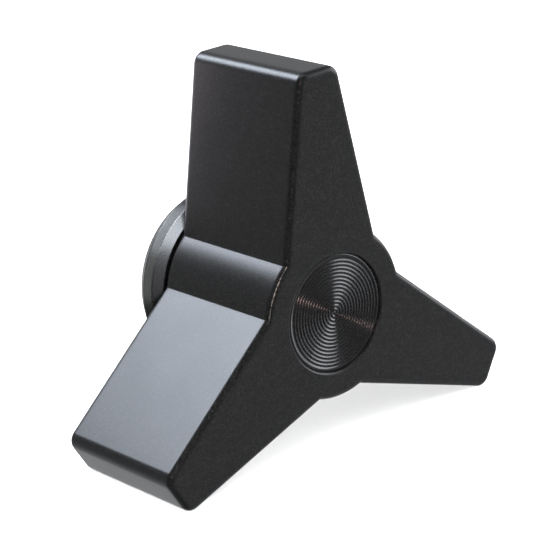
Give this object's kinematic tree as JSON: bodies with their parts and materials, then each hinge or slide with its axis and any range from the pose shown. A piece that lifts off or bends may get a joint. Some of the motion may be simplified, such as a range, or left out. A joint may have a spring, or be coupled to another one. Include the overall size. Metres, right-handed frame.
{
  "type": "wing nut",
  "caption": "Three-arm wing nut in black anodised aluminium with a grooved front disc, a blind-capped threaded bush and a captive round swivel flange.",
  "frame": {"origin": "centre of the threaded hole's mouth, at the rear", "axes": "+Y along the thread, the way the stud leaves and the flange's seat faces; +Z along one arm; the front face looks to -Y"},
  "size_m": [0.0572, 0.0254, 0.05],
  "materials": {
    "anodised_body": "black anodised, satin, fine grain",
    "anodised_turned": "black anodised over turned rings",
    "bush_steel": "zinc plated, turned",
    "washer_plastic": "moulded black acetal",
    "clip_steel": "oil-blacked spring steel"
  },
  "bodies": {
    "nut": {"wing_body": "anodised_body", "centre_cap": "anodised_turned", "threaded_bush": "bush_steel", "retaining_ring": "clip_steel"},
    "washer": {"thrust_washer": "washer_plastic"},
    "flange": {"swivel_flange": "anodised_turned"}
  },
  "joints": [
    {"name": "flange_spin", "type": "hinge", "parent": "nut", "child": "flange", "pos_m": [0, 0, 0], "axis": [0, 1, 0], "continuous": true},
    {"name": "washer_spin", "type": "hinge", "parent": "nut", "child": "washer", "pos_m": [0, 0, 0], "axis": [0, 1, 0], "continuous": true}
  ]
}
